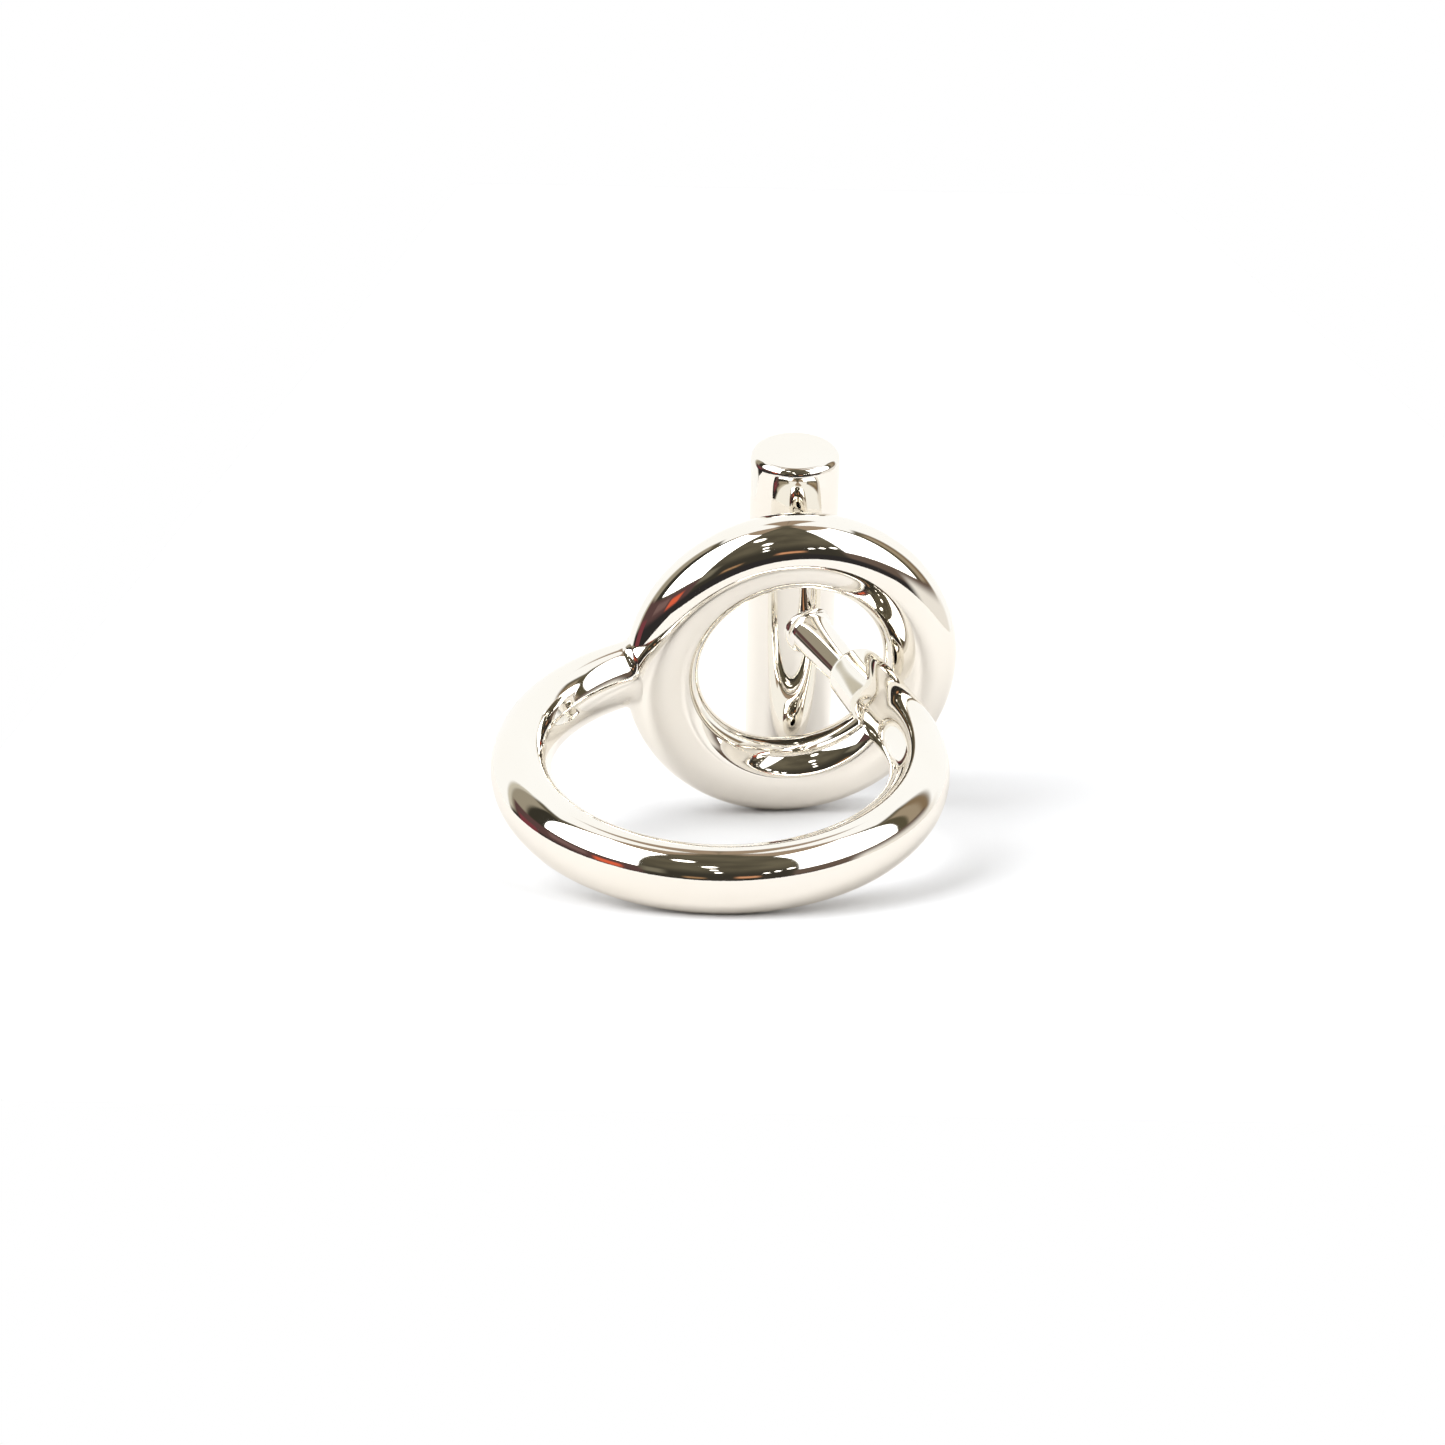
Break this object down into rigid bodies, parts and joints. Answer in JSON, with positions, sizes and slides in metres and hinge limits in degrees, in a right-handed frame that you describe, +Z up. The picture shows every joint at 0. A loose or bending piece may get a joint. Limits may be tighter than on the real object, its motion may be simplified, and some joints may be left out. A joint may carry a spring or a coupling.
{
  "type": "toggle clasp finger ring",
  "caption": "Polished silver finger ring of round wire, closed by a T bar on a thin post that passes through a small round ring.",
  "frame": {"origin": "bottom centre of the box, on the table the ring stands on", "axes": "+Z up; +Y from the finger loop's near end towards the toggle bar; +X to the right when the loop is in front; the loop's plane rises 19.5 degrees towards +Y"},
  "size_m": [0.0246, 0.0318, 0.0206],
  "materials": {
    "loop_silver": "mirror polished silver, warm white",
    "toggle_ring_silver": "mirror polished silver, warm white",
    "post_silver": "mirror polished silver, warm white",
    "bar_silver": "mirror polished silver, warm white"
  },
  "bodies": {
    "root": {"finger_loop": "loop_silver", "toggle_ring": "toggle_ring_silver", "toggle_post": "post_silver", "toggle_bar": "bar_silver"}
  },
  "joints": []
}
